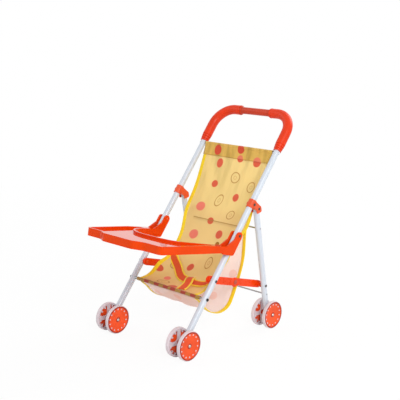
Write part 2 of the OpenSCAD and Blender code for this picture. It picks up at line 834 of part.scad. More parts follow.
side_tube(1);  // side_tube_right
side_tube(-1);  // side_tube_left
handle_grip(1);  // handle_grip_right
handle_grip(-1);  // handle_grip_left
handle_bar();
leg_clamp(1);  // leg_clamp_right
leg_clamp(-1);  // leg_clamp_left
clamp_screws();
leg_rivets();
seat_rod(front_rod_s);  // front_rod
rod_caps(front_rod_s);  // front_rod_caps
seat_rod(top_rod_s);  // top_rod
rod_caps(top_rod_s);  // top_rod_caps
front_link_rivets();
tray_pins();
rear_leg(1);  // rear_leg_right
rear_leg(-1);  // rear_leg_left
cross_wire(upper_wire_at);  // upper_cross_wire
cross_wire(lower_wire_at);  // lower_cross_wire
rear_link_rivets();
front_link(1);  // front_link_right
front_link(-1);  // front_link_left
knee_rivets();
rear_link(1);  // rear_link_right
rear_link(-1);  // rear_link_left
tray();
wheels(1, [0, wheel_r]);  // front_right_wheels
tyres(1, [0, wheel_r]);  // front_right_tyres
axle(1, [0, wheel_r]);  // front_right_axle
wheels(-1, [0, wheel_r]);  // front_left_wheels
tyres(-1, [0, wheel_r]);  // front_left_tyres
axle(-1, [0, wheel_r]);  // front_left_axle
wheels(1, rear_axle);  // rear_right_wheels
tyres(1, rear_axle);  // rear_right_tyres
axle(1, rear_axle);  // rear_right_axle
wheels(-1, rear_axle);  // rear_left_wheels
tyres(-1, rear_axle);  // rear_left_tyres
axle(-1, rear_axle);  // rear_left_axle
seat_back();
seat_seam();
seat_bottom();
basket_floor();
basket_back();
waist_belt();
crotch_strap();
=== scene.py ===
"""Looks, fabric, light and camera for the doll stroller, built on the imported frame.

Lengths are in metres. u runs from -1 to 1 across a cloth and v from 0 to 1 down it."""
import math

import bpy
from mathutils import Matrix, Vector, noise


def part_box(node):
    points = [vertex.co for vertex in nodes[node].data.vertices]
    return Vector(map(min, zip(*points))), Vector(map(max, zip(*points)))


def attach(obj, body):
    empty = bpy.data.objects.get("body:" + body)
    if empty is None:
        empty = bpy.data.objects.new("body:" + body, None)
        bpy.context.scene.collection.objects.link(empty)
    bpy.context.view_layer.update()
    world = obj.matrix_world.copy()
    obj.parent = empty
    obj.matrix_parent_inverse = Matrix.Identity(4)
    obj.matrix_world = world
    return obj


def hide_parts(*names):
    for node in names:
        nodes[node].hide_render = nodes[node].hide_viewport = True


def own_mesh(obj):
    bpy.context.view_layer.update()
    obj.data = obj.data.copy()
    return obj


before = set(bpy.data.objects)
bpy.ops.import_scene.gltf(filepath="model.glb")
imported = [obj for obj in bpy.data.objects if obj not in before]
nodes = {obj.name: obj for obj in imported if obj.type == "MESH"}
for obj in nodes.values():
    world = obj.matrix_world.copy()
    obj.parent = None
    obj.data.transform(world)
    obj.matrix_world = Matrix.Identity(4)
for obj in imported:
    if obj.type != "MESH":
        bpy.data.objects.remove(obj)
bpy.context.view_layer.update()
MM = 0.001


# ---- places taken from the frame ----


def centre(name):
    """The middle of a CAD node's box."""
    lo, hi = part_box(name)
    return (Vector(lo) + Vector(hi)) / 2


def half_size(name, axis=0):
    """Half the size of a CAD node's box along an axis, across the stroller unless another is given."""
    lo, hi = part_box(name)
    return (hi[axis] - lo[axis]) / 2


TOP_ROD = centre("top_rod")
FRONT_ROD = centre("front_rod")
ROD_R = half_size("top_rod", 2)
UP = (TOP_ROD - FRONT_ROD).normalized()
BEHIND = Vector((0, UP.z, -UP.y))
ROD_SPAN = (TOP_ROD - FRONT_ROD).length


def spot(up, depth):
    """A point of the side view: how far up the tubes from the front rod, and how far behind them."""
    p = FRONT_ROD + UP * up + BEHIND * depth
    return Vector((0, p.y, p.z))


# ---- node materials ----


class Nodes:
    """Short calls that add linked nodes to a tree. A value is a number, a colour or a node's output."""

    def __init__(self, tree):
        self.tree = tree

    def add(self, kind, **settings):
        node = self.tree.nodes.new(kind)
        for key, value in settings.items():
            setattr(node, key, value)
        return node

    def wire(self, source, target):
        self.tree.links.new(source, target)

    def put(self, target, value):
        if hasattr(value, "is_linked"):
            self.wire(value, target)
        else:
            target.default_value = value

    def put_colour(self, target, value):
        self.put(target, value if hasattr(value, "is_linked") else (*value, 1))

    def maths(self, how, a, b=0.0):
        node = self.add("ShaderNodeMath", operation=how)
        self.put(node.inputs[0], a)
        self.put(node.inputs[1], b)
        return node.outputs[0]

    def ramp(self, value, lo, hi, out_lo=0.0, out_hi=1.0, smooth=True):
        node = self.add("ShaderNodeMapRange", interpolation_type="SMOOTHSTEP" if smooth else "LINEAR")
        for key, number in (("From Min", lo), ("From Max", hi), ("To Min", out_lo), ("To Max", out_hi)):
            node.inputs[key].default_value = number
        self.put(node.inputs["Value"], value)
        return node.outputs["Result"]

    def mix(self, share, a, b, how="MIX"):
        node = self.add("ShaderNodeMix", data_type="RGBA", blend_type=how)
        self.put(node.inputs["Factor"], share)
        self.put_colour(node.inputs["A"], a)
        self.put_colour(node.inputs["B"], b)
        return node.outputs["Result"]

    def split(self, vector):
        node = self.add("ShaderNodeSeparateXYZ")
        self.wire(vector, node.inputs[0])
        return node.outputs

    def layer(self, share, under, over):
        """Two shaders mixed, over taking the given share."""
        node = self.add("ShaderNodeMixShader")
        for socket, value in zip(node.inputs, (share, under, over)):
            self.put(socket, value)
        return node.outputs[0]

    def seen_by(self, *rays):
        """1 for the named kinds of ray and 0 for the others."""
        kinds = self.add("ShaderNodeLightPath").outputs
        share = kinds[f"Is {rays[0]} Ray"]
        for ray in rays[1:]:
            share = self.maths("MAXIMUM", share, kinds[f"Is {ray} Ray"])
        return share


class Shader(Nodes):
    """A material under construction, round its Principled shader."""

    def __init__(self, name, colour, rough=0.5, **sockets):
        self.mat = bpy.data.materials.new(name)
        self.mat.use_nodes = True
        self.mat.diffuse_color = (*colour, 1)
        super().__init__(self.mat.node_tree)
        self.bsdf = self.tree.nodes["Principled BSDF"]
        self.bsdf.inputs["Base Color"].default_value = (*colour, 1)
        self.bsdf.inputs["Roughness"].default_value = rough
        for key, value in sockets.items():
            self.bsdf.inputs[key.replace("_", " ")].default_value = value
        self.coords = self.add("ShaderNodeTexCoord").outputs

    def noise(self, scale, detail, where=None):
        node = self.add("ShaderNodeTexNoise")
        node.inputs["Scale"].default_value = scale
        node.inputs["Detail"].default_value = detail
        self.wire(where or self.coords["Object"], node.inputs["Vector"])
        return node.outputs["Fac"]

    def flow_marks(self, strength=1.0):
        """The broad soft marks that plastic leaves as it fills a mould."""
        return self.ramp(self.noise(22, 2), 0.35, 0.7, 0.0, strength)

    def bump(self, height, depth):
        node = self.add("ShaderNodeBump")
        node.inputs["Distance"].default_value = depth
        node.inputs["Strength"].default_value = 1.0
        self.wire(height, node.inputs["Height"])
        self.wire(node.outputs["Normal"], self.bsdf.inputs["Normal"])

    def colour(self, value):
        self.wire(value, self.bsdf.inputs["Base Color"])

    def rough(self, value):
        self.wire(value, self.bsdf.inputs["Roughness"])

    def surface(self, shader):
        self.wire(shader, self.tree.nodes["Material Output"].inputs["Surface"])


def srgb(r, g, b):
    """A colour given in 0 to 255 screen values, as the linear one that shaders take."""
    return tuple((v / 255 / 12.92) if v < 10.3 else ((v / 255 + 0.055) / 1.055) ** 2.4 for v in (r, g, b))


def darker(colour, share):
    """A colour keeping the given share of its light."""
    return tuple(c * share for c in colour)


def moulded(name, colour, rough=0.3, speck=0.06, ior=1.34):
    """Injection-moulded plastic: faint flow marks in the colour and a fine spark-eroded skin."""
    s = Shader(name, colour, rough, IOR=ior)
    s.colour(s.mix(s.flow_marks(), colour, darker(colour, 1 - 2 * speck)))
    s.rough(s.ramp(s.noise(90, 4), 0.3, 0.7, rough - 0.05, rough + 0.08))
    s.bump(s.noise(2600, 2), 0.04 * MM)
    return s.mat


def polished_tray(name, colour):
    """Glossy moulded plastic, polished clearer on the faces that look up."""
    s = Shader(name, colour, 0.05, IOR=1.17, Coat_Roughness=0.03)
    looks_up = s.split(s.coords["Normal"])[2]
    s.wire(s.ramp(looks_up, 0.9, 0.97, 0.0, 0.45), s.bsdf.inputs["Coat Weight"])
    s.colour(s.mix(s.flow_marks(), colour, darker(colour, 0.94)))
    return s.mat


def disc_plastic(name, colour, shade):
    """A wheel disc's face, with painted shade in the crease at its rim and round the axle's cap."""
    s = Shader(name, colour, 0.3, IOR=1.34)
    box = s.split(s.coords["Generated"])
    legs = [s.maths("SUBTRACT", box[k], 0.5) for k in (1, 2)]
    square = s.maths("ADD", *(s.maths("MULTIPLY", leg, leg) for leg in legs))
    reach = s.maths("MULTIPLY", s.maths("SQRT", square), 2.0)
    # The rim ring and the ring round the axle's cap are painted shade; faint flow marks share their tone.
    rim = s.ramp(reach, 0.87, 0.93, 0.0, 0.85)
    hub_shade = s.ramp(reach, 0.17, 0.22, 0.8, 0.0)
    shade_and_flow_marks = s.maths("MAXIMUM", s.maths("MAXIMUM", rim, hub_shade), s.flow_marks(0.3))
    s.colour(s.mix(shade_and_flow_marks, colour, shade))
    return s.mat


def painted_tube(name, colour):
    """White powder coat on steel tube, with a slight orange-peel skin."""
    s = Shader(name, colour, 0.3, IOR=1.42, Coat_Weight=0.2, Coat_Roughness=0.15)
    s.colour(s.mix(s.ramp(s.noise(14, 2), 0.4, 0.7), colour, darker(colour, 0.95)))
    s.bump(s.noise(700, 2), 0.04 * MM)
    return s.mat


def pin_steel(name, outer, inner, reach):
    """A browned pin with a bare outer head. Its inner head, closer in than reach, is coloured orange."""
    s = Shader(name, outer, 0.3, IOR=1.6)
    place = s.split(s.add("ShaderNodeNewGeometry").outputs["Position"])
    edge = 0.5 * MM
    s.colour(s.mix(s.ramp(s.maths("ABSOLUTE", place[0]), reach - edge, reach + edge), inner, outer))
    return s.mat


def drawn_wire(name, colour):
    """Bright drawn steel, its shine and colour broken up a little by handling."""
    s = Shader(name, colour, 0.32, Metallic=1.0)
    s.rough(s.ramp(s.noise(300, 4), 0.3, 0.7, 0.24, 0.42))
    s.colour(s.mix(s.noise(60, 3), colour, darker(colour, 0.8)))
    return s.mat


# A printed ring's two lines: the share of its size that each lies at, full ink within, none past, strength.
RING_LINES = ((1.0, 0.04, 0.13, 0.75), (0.32, 0.03, 0.12, 0.3))


def polka(s, x, y, base, dots, rings, seams):
    """Printed dots and outlined ovals over a base colour, and seams sewn across the cloth.

    A dot is (across, along, half width, half height, ink), a ring has its slant before the ink, and a seam
    is (along, reach to each side, tone of its stitching and of the painted shade below it)."""
    shown = base

    def distance(cx, cy, half_width, half_height, slant=0.0):
        """How far out from a mark's middle, 1 being its edge."""
        dx = s.maths("SUBTRACT", x, cx)
        dy = s.maths("SUBTRACT", y, cy)
        if slant:
            dx = s.maths("ADD", dx, s.maths("MULTIPLY", dy, slant))
        legs = (s.maths("DIVIDE", dx, half_width), s.maths("DIVIDE", dy, half_height))
        return s.maths("SQRT", s.maths("ADD", *(s.maths("MULTIPLY", leg, leg) for leg in legs)))

    for *place, ink in dots:
        shown = s.mix(s.ramp(distance(*place), 0.9, 1.06, 1.0, 0.0), shown, ink)
    for *place, ink in rings:
        out = distance(*place)
        for line, full, none, strength in RING_LINES:
            off = s.maths("ABSOLUTE", s.maths("SUBTRACT", out, line))
            shown = s.mix(s.ramp(off, full, none, strength, 0.0), shown, ink)
    for along, reach, stitch_and_shade_tone in seams:
        off = s.maths("SUBTRACT", y, along)
        inside = s.ramp(s.maths("ABSOLUTE", x), reach - 4 * MM, reach, 1.0, 0.0)
        line = s.ramp(s.maths("ABSOLUTE", off), 0.4 * MM, 1.1 * MM, 0.9, 0.0)
        # Painted shade fading out below the seam's line.
        shadow = s.maths("MULTIPLY", s.ramp(off, 0.0, 8 * MM, 0.3, 0.0), s.ramp(off, -0.6 * MM, 0.0))
        shown = s.mix(s.maths("MULTIPLY", s.maths("MAXIMUM", line, shadow), inside), shown, stitch_and_shade_tone)
    return shown


# What uneven yarn and the gaps between threads multiply a cloth's colour by.
SLUB_TONE = (0.9, 0.88, 0.76)
GAP_TONE = (0.7, 0.66, 0.6)


def paint_fold_shade(s, x, y, base, start, end, strength, tone):
    """Painted shade in lengthwise folds, mixed towards tone and running out from start to end along the
    cloth.
    """
    flow = s.add("ShaderNodeCombineXYZ")
    s.wire(x, flow.inputs[0])
    s.wire(s.maths("MULTIPLY", y, 0.2), flow.inputs[1])
    fold = s.ramp(s.noise(48, 3, flow.outputs[0]), 0.42, 0.7)
    return s.mix(s.maths("MULTIPLY", fold, s.ramp(y, start, end, strength, 0.0)), base, tone)


def woven(name, colour, dots=(), rings=(), seams=(), weave_turn=3000.0, thread_depth=0.12 * MM, slubs=0.24,
          glow=0.0, clear=0.0, warm=None, fold_shading=None):
    """Plain-weave cloth on the cloth's own measure, with printed marks.

    weave_turn is how fast the threads wave, in radians a metre, and slubs is how strongly uneven yarn shows.
    glow and clear are the shares of light and of sight that pass through, warm is (from, to, tone) along the
    cloth, and the last gives painted shade in lengthwise folds as (from, to, strength, tone)."""
    s = Shader(name, colour, 0.85, Sheen_Weight=0.3, Sheen_Roughness=0.5)
    x, y = s.split(s.add("ShaderNodeUVMap", uv_map="cloth").outputs["UV"])[:2]
    base = colour
    if warm:
        start, end, tone = warm
        base = s.mix(s.ramp(y, start, end), base, tone)
    if fold_shading:
        base = paint_fold_shade(s, x, y, base, *fold_shading)
    shown = polka(s, x, y, base, dots, rings, seams)
    weave = s.maths("MULTIPLY", *(s.maths("SINE", s.maths("MULTIPLY", way, weave_turn)) for way in (y, x)))
    uneven = s.maths("MULTIPLY", s.ramp(s.noise(17, 3), 0.3, 0.75), slubs)
    shown = s.mix(uneven, shown, SLUB_TONE, "MULTIPLY")
    shown = s.mix(s.ramp(weave, -1.0, 1.0, 0.14, 0.0, smooth=False), shown, GAP_TONE, "MULTIPLY")
    s.colour(shown)
    s.bump(weave, thread_depth)
    cloth_shader = s.bsdf.outputs[0]
    if glow:
        lit_through = s.add("ShaderNodeBsdfTranslucent")
        s.wire(shown, lit_through.inputs["Color"])
        cloth_shader = s.layer(glow, cloth_shader, lit_through.outputs[0])
    if clear:
        cloth_shader = s.layer(clear, cloth_shader, s.add("ShaderNodeBsdfTransparent").outputs[0])
    s.surface(cloth_shader)
    return s.mat


# ---- the rigid pieces' looks ----

ORANGE = moulded("orange_plastic", srgb(242, 66, 10), 0.26, ior=1.3)
GRIP = moulded("grip_rubber", srgb(224, 58, 18), 0.36, ior=1.3)
TRAY = polished_tray("tray_plastic", srgb(230, 68, 10))
ORANGE_BAR = moulded("bar_plastic", srgb(198, 58, 24), 0.34)
CLAMP = moulded("clamp_plastic", srgb(234, 92, 52), 0.4)
# The second colour is the painted shade in the wheel disc's rim crease and round its cap.
WHEEL = disc_plastic("wheel_plastic", srgb(246, 86, 28), srgb(150, 28, 10))
TYRE = moulded("tyre_plastic", srgb(220, 208, 214), 0.42, 0.04, ior=1.45)
BLACK = moulded("black_plastic", srgb(30, 26, 26), 0.5, 0.1)
PIN_INNER_REACH = abs(centre("side_tube_right").x) - 4.5 * MM
PIN = pin_steel("pin_steel", srgb(58, 38, 34), srgb(226, 80, 36), PIN_INNER_REACH)
KNEE = moulded("knee_rivet", srgb(196, 86, 66), 0.4, 0.1)
WHITE = painted_tube("white_tube", srgb(206, 214, 224))
WIRE = drawn_wire("steel_wire", srgb(176, 180, 186))
AXLE = drawn_wire("axle_steel", srgb(206, 196, 190))

# ---- the cloth's looks, with marks in millimetres across from its middle and down from its top ----

STRONG = srgb(214, 66, 18)
MID = srgb(236, 124, 90)
PALE = srgb(250, 162, 142)
FAINT = srgb(253, 218, 210)
# The strong ink in painted shade, for the dots on the front sleeve.
STRONG_IN_SHADE = srgb(168, 50, 24)
INK = srgb(190, 138, 52)
# The tone of the painted shade in the seat's folds.
OLIVE_FOLD_SHADE = srgb(196, 178, 104)


def print_at(places):
    """Marks given in millimetres, now in metres, with the rest of each mark as it is."""
    return [(x * MM, y * MM, a * MM, b * MM, *rest) for x, y, a, b, *rest in places]


SLING_DOTS = print_at((
    (-52, 11, 9.6, 10.5, STRONG), (10, 4, 9, 8.5, STRONG),
    (-40, 36.6, 8.6, 10.2, MID), (12, 22, 7.7, 7.4, MID), (57, 24, 10, 10, MID),
    (-39, 81.5, 9, 7.8, MID), (30, 102.5, 8.6, 8.6, MID), (-54, 134.6, 12, 10.2, PALE),
    (-14, 161, 7.8, 7.4, MID), (-44, 196, 12, 10.4, PALE), (21, 185, 8.6, 9.2, MID),
    (26, 204.5, 5, 4.4, INK),
    (-12, 266, 8.2, 8.8, MID), (-72, 297, 9.5, 9, MID), (8, 341, 10, 9, MID),
    (-67, 243, 8, 9, MID), (50, 300, 9, 8, PALE), (-36, 312, 8, 7, PALE)
))
SLING_RINGS = print_at((
    (11, 61.8, 11.4, 11, 0.0, INK), (62, 76, 10, 10.5, 0.0, INK), (-13, 114.5, 8.6, 12.6, 0.15, INK),
    (33, 140.5, 9, 9, 0.3, INK), (26, 247, 7.4, 12.6, 0.0, INK), (-29, 330, 12, 9, 0.3, INK),
    (-50, 270, 10, 10, 0.2, INK)
))
# The seam's tone serves its stitching and the painted shade below it.
SEAMS = [(159.5 * MM, 64 * MM, srgb(196, 160, 84))]
HEM_MARKS_END = 30 * MM
HEM_DOTS = [dot for dot in SLING_DOTS if dot[1] < HEM_MARKS_END]
SLEEVE_DOTS = print_at([(x, 9, 7, 14, STRONG_IN_SHADE) for x in (-58, -30, -4, 16, 44, 70)])
BASKET_DOTS = print_at([(x, y, 10, 9, FAINT) for x, y in (
    (-50, 30), (10, 22), (52, 60), (-20, 75), (-60, 120),
    (30, 118), (-10, 160), (58, 172), (-46, 200), (20, 215)
)])

# The olive fold tone near the seat's top is painted shade.
SEAT_CLOTH = woven("seat_fabric", srgb(251, 233, 174), SLING_DOTS, SLING_RINGS, SEAMS, glow=0.5, clear=0.03,
                   warm=(0.28, 0.46, srgb(255, 192, 70)), fold_shading=(0.03, 0.18, 0.34, OLIVE_FOLD_SHADE))
# The hem's base is the seat's cloth darkened: painted shade where it is doubled over the top rod.
HEM_CLOTH = woven("hem_fabric", srgb(228, 186, 84), HEM_DOTS, slubs=0.8,
                  # Painted shade in the hem's folds, in this darker tone.
                  fold_shading=(0.03, 0.2, 0.8, srgb(170, 134, 40)))
# The sleeve's cloth and dots are the seat's, darkened: painted shade where it is doubled round the front
# rod.
ROD_CLOTH = woven("sleeve_fabric", srgb(170, 132, 46), SLEEVE_DOTS, slubs=1.2)
BASKET_CLOTH = woven("basket_fabric", srgb(255, 240, 238), BASKET_DOTS, glow=0.5, clear=0.36)
BINDING = woven("binding", srgb(254, 220, 12), weave_turn=5200.0, slubs=0.32)
WEBBING = woven("webbing", srgb(255, 118, 38), weave_turn=1800.0, thread_depth=0.3 * MM, slubs=0.32,
                glow=0.5)

# ---- looks on the CAD nodes ----

WHEEL_LOOKS = {"_wheels": WHEEL, "_tyres": TYRE, "_axle": AXLE}
NODE_LOOKS = {
    "side_tube": WHITE, "rear_leg": WHITE, "handle_grip": GRIP, "handle_bar": ORANGE_BAR, "leg_clamp": CLAMP,
    "front_link_rivets": PIN, "rear_link_rivets": PIN, "front_link": ORANGE, "rear_link": ORANGE,
    "tray_pins": PIN, "tray": TRAY, "clamp_screws": PIN, "leg_rivets": PIN, "front_rod_caps": BLACK,
    "top_rod_caps": WHITE, "front_rod": WIRE, "top_rod": WIRE, "knee_rivets": KNEE,
    "upper_cross_wire": WIRE, "lower_cross_wire": WIRE
}


def dress(name):
    """A node's look by how its name ends, or else by its longest listed start. The rest are cloth."""
    for ending, look in WHEEL_LOOKS.items():
        if name.endswith(ending):
            return look
    starts = [start for start in NODE_LOOKS if name.startswith(start)]
    return NODE_LOOKS[max(starts, key=len)] if starts else SEAT_CLOTH


for node_name, obj in nodes.items():
    obj.data.materials.clear()
    obj.data.materials.append(dress(node_name))

# ---- lines and measures ----

CURVE_STEPS = 16


def rise(value, start, end):
    """0 up to start and 1 from end on, straight between them."""
    return min(1, max(0, (value - start) / (end - start)))


def swell(value, middle, width):
    """A smooth hump, 1 at its middle."""
    return math.exp(-((value - middle) / width) ** 2)


def wave(x, y, seed):
    """A smooth uneven wave, between about -1 and 1, the same on every run."""
    return noise.noise(Vector((x, y, seed)))


def smooth_curve(points):
    """Closely spaced points on a Catmull-Rom curve through the given ones."""
    ends = [2 * points[0] - points[1], *points, 2 * points[-1] - points[-2]]
    curve = []
    for a, b, c, d in zip(ends, ends[1:], ends[2:], ends[3:]):
        for k in range(CURVE_STEPS):
            t = k / CURVE_STEPS
            bend = (2 * a - 5 * b + 4 * c - d) * t ** 2 + (3 * b - a - 3 * c + d) * t ** 3
            curve.append(0.5 * (2 * b + (c - a) * t + bend))
    return [*curve, points[-1]]


def lengths(points):
    """How far along a line each of its points lies."""
    reach = [0.0]
    for p, q in zip(points, points[1:]):
        reach.append(reach[-1] + (q - p).length)
    return reach


def rounded(points, n):
    """n + 1 points at even spacing on a smooth curve through the given ones."""
    curve = smooth_curve([Vector(p) for p in points])
    reach = lengths(curve)
    evenly = []
    k = 0
    for i in range(n + 1):
        want = reach[-1] * i / n
        while k < len(reach) - 2 and reach[k + 1] < want:
            k += 1
        evenly.append(curve[k].lerp(curve[k + 1], rise(want, reach[k], reach[k + 1])))
    return evenly


def way_at(line, i):
    """The direction in which a line runs at its point i."""
    return (line[min(i + 1, len(line) - 1)] - line[max(i - 1, 0)]).normalized()


def back_of(way):
    """The direction square to a way down the side view, on its rear side."""
    return Vector((0, -way.z, way.y))


# ---- cloth in mesh code ----

CLOTH_THICK = 0.9 * MM
TAPE_SIDES = 12


def mesh_object(name, verts, faces, uvs, look):
    """A smooth-shaded object whose map "cloth" holds each point's place on the flat cloth."""
    mesh = bpy.data.meshes.new(name)
    mesh.from_pydata([tuple(v) for v in verts], [], faces)
    layer = mesh.uv_layers.new(name="cloth")
    for loop in mesh.loops:
        layer.data[loop.index].uv = uvs[loop.vertex_index]
    for poly in mesh.polygons:
        poly.use_smooth = True
    mesh.materials.append(look)
    mesh.validate()
    obj = bpy.data.objects.new(name, mesh)
    bpy.context.scene.collection.objects.link(obj)
    return obj


def cloth(name, rows, look, measure, thick=CLOTH_THICK):
    """A closed thin shell over a grid of points. measure(i, j) is the place on the flat cloth."""
    n, m = len(rows), len(rows[0])

    def normal(i, j):
        down = rows[min(i + 1, n - 1)][j] - rows[max(i - 1, 0)][j]
        over = rows[i][min(j + 1, m - 1)] - rows[i][max(j - 1, 0)]
        return over.cross(down).normalized()

    spots = [(i, j) for i in range(n) for j in range(m)]
    verts = [rows[i][j] + normal(i, j) * (thick * side) for side in (0.5, -0.5) for i, j in spots]
    uvs = [measure(i, j) for i, j in spots] * 2
    back = n * m
    faces = []
    for i in range(n - 1):
        for j in range(m - 1):
            a = i * m + j
            faces.append((a, a + m, a + m + 1, a + 1))
            faces.append((back + a, back + a + 1, back + a + m + 1, back + a + m))
    rim = list(range(m)) + [i * m + m - 1 for i in range(1, n)]
    rim += [(n - 1) * m + j for j in range(m - 2, -1, -1)] + [i * m for i in range(n - 2, 0, -1)]
    for a, b in zip(rim, rim[1:] + rim[:1]):
        faces.append((a, b, back + b, back + a))
    return mesh_object(name, verts, faces, uvs, look)


def tape(name, path, across, out, look, wide, thick):
    """A folded tape along a path: a flat rounded section, wide along across[i] and thick along out[i]."""

    def rounded_off(value, power):
        return math.copysign(abs(value) ** power, value)

    verts, uvs = [], []
    for p, a, o, run in zip(path, across, out, lengths(path)):
        for k in range(TAPE_SIDES):
            t = math.tau * k / TAPE_SIDES
            x = rounded_off(math.cos(t), 0.6) * wide / 2
            y = rounded_off(math.sin(t), 0.8) * thick / 2
            verts.append(p + a * x + o * y)
            uvs.append((wide * k / TAPE_SIDES, run))
    faces = []
    for i in range(len(path) - 1):
        for k in range(TAPE_SIDES):
            a, b = i * TAPE_SIDES + k, i * TAPE_SIDES + (k + 1) % TAPE_SIDES
            faces.append((a, b, b + TAPE_SIDES, a + TAPE_SIDES))
    faces.append(tuple(reversed(range(TAPE_SIDES))))
    faces.append(tuple((len(path) - 1) * TAPE_SIDES + k for k in range(TAPE_SIDES)))
    return mesh_object(name, verts, faces, uvs, look)


ROWS, COLS = 96, 36


def across_at(j):
    """u of a cloth's column j."""
    return -1 + 2 * j / COLS


def grid_of(point, rows=ROWS):
    """Rows 0 to rows of points down a cloth, where point(i, u) is on its row i."""
    return [[point(i, across_at(j)) for j in range(COLS + 1)] for i in range(rows + 1)]


# ---- the seat: from the top rod down the back, forward under the doll and up to the front rod ----

BACK_HALF = half_size("seat_back") + 0.5 * MM
SEAT_HALF = half_size("seat_seam") + 0.7 * MM

# The share of the way up from the front rod to the top one, and millimetres behind the tubes.
SEAT_SIDE = [
    (1.0, 3.2), (0.94, 8.0), (0.88, 13.9), (0.77, 24.5), (0.68, 30.0), (0.606, 32.0), (0.547, 34.5),
    (0.495, 37.5), (0.428, 40.5), (0.35, 43.0), (0.269, 44.7), (0.207, 43.5), (0.147, 38.0), (0.096, 29.0),
    (0.054, 17.2), (0.006, -2.2)
]
seat_line = rounded([spot(share * ROD_SPAN, depth * MM) for share, depth in SEAT_SIDE], ROWS)
seat_length = lengths(seat_line)[-1]

# v, and the share of the way from the seat's half width, between the folded links, out to the back's.
WIDTHS = ((-1.0, 1.0), (0.0, 1.0), (0.38, 1.03), (0.47, 0.95), (0.51, 0.45), (0.54, 0.0), (2.0, 0.0))
WIDTH_BLUR = (-0.05, -0.025, 0, 0.025, 0.05)
HOLLOW = 4.0 * MM
# Three sizes of wrinkle: waves across and down, seed, depth. The hem's fade out below it.
BROAD_WRINKLES = (3.2, 1.2, 1.0, 2.2 * MM)
FINE_WRINKLES = (7.0, 2.5, 4.0, 0.7 * MM)
HEM_WRINKLES = (9.0, 2.0, 6.0, 2.6 * MM)
STRAP_PULL = 70 * MM
TURNED_IN = 9 * MM
NEAR_EDGE_PINCH = 8.5 * MM


def width_share(v):
    """The share in WIDTHS at v, straight between its entries."""
    for (v0, w0), (v1, w1) in zip(WIDTHS, WIDTHS[1:]):
        if v <= v1:
            return w0 + (w1 - w0) * (v - v0) / (v1 - v0)
    return 0.0


def seat_half(v):
    """Half width of the seat's cloth."""
    soft = sum(width_share(v + d) for d in WIDTH_BLUR) / len(WIDTH_BLUR)
    return SEAT_HALF + (BACK_HALF - SEAT_HALF) * soft


def wrinkle(u, v, size):
    """How deep one size of wrinkle is at a point."""
    across, down, seed, depth = size
    return wave(u * across, v * down, seed) * depth


def seat_sag(u, v):
    """How far the cloth hangs back from its bound edges."""
    hollow = (1 - u * u) * math.sin(math.pi * rise(v, 0.02, 0.99)) ** 0.8
    soft = wrinkle(u, v, BROAD_WRINKLES) + wrinkle(u, v, FINE_WRINKLES)
    soft += wrinkle(u, v, HEM_WRINKLES) * math.exp(-v / 0.12)
    fade = rise(v, 0, 0.1) * rise(1 - v, 0, 0.06) * (1 - abs(u) ** 6)
    return hollow * HOLLOW + soft * fade


def wing(u, v):
    """How far the cloth stands up where the lap strap pulls at its sides and where one edge turns in."""
    pulled = swell(v, 0.83, 0.09) * max(0, abs(u) - 0.62) ** 1.6 * STRAP_PULL
    turned = TURNED_IN * rise(v, 0.46, 0.58) * rise(0.84 - v, 0, 0.1)
    return pulled + turned * max(0, (u - 0.45) / 0.55) ** 1.5


def seat_point(i, u):
    """A point of the seat's cloth on its row i."""
    v = i / ROWS
    x = u * seat_half(v) - max(u, 0) * NEAR_EDGE_PINCH * swell(v, 0.285, 0.13)
    back = back_of(way_at(seat_line, i))
    return Vector((x, 0, 0)) + seat_line[i] + back * (seat_sag(u, v) - wing(u, v))


def seat_measure(i, j):
    """Where a point of the seat lies on the flat cloth."""
    return across_at(j) * seat_half(i / ROWS), seat_length * i / ROWS


seat_rows = grid_of(seat_point)
sling = cloth("seat_sling", seat_rows, SEAT_CLOTH, seat_measure)

# ---- the basket: from the front rod down behind the seat and up its back ----

# Millimetres up the tubes from the front rod, and behind them.
BASKET_SIDE = [
    (-3.0, 4.2), (-3.4, 19.1), (-6.6, 39.4), (-5.6, 60.2), (2.6, 80.4), (16.7, 93.6), (31.0, 98.9),
    (49.0, 97.5), (71.0, 93.5), (94.1, 88.8), (118.3, 79.6), (141.9, 65.5), (163.4, 49.5), (181.4, 39.6),
    (196.4, 34.4)
]
basket_line = rounded([spot(up * MM, depth * MM) for up, depth in BASKET_SIDE], ROWS)
basket_length = lengths(basket_line)[-1]
BASKET_HALF = half_size("basket_floor") + 1.2 * MM
BROAD_SLACK = (2.6, 4, 9.0, 3.0 * MM)
FINE_SLACK = (6, 9, 2.0, 1.0 * MM)
SEAT_ROOM = 8 * MM


def basket_point(i, u):
    """A point of the basket, slack along its length and bowed clear of the seat's back near its top."""
    v = i / ROWS
    slack = (wrinkle(u, v, BROAD_SLACK) + wrinkle(u, v, FINE_SLACK)) * math.sin(math.pi * v) ** 0.6
    slack -= (1 - u * u) * rise(v, 0.74, 0.86) * SEAT_ROOM
    return Vector((u * BASKET_HALF, 0, 0)) + basket_line[i] + back_of(way_at(basket_line, i)) * slack


def basket_measure(i, j):
    """Where a point of the basket lies on the flat cloth."""
    return across_at(j) * BASKET_HALF, basket_length * i / ROWS


basket_rows = grid_of(basket_point)
basket = cloth("basket_sling", basket_rows, BASKET_CLOTH, basket_measure)

# ---- binding on the long edges ----

BINDING_WIDE, BINDING_THICK = 8.6 * MM, 1.9 * MM
BINDING_INSET = 0.45 * BINDING_WIDE
SIDES = (("left", -1), ("right", 1))


def edge_tape(name, rows, side):
    """The binding folded over one long edge of a cloth."""
    edge, inner = (0, 1) if side < 0 else (COLS, COLS - 1)
    line = [row[edge] for row in rows]
    across = [(row[inner] - row[edge]).normalized() for row in rows]
    out = [a.cross(way_at(line, i)).normalized() for i, a in enumerate(across)]
    path = [p + a * BINDING_INSET for p, a in zip(line, across)]
    return tape(name, path, across, out, BINDING, BINDING_WIDE, BINDING_THICK)


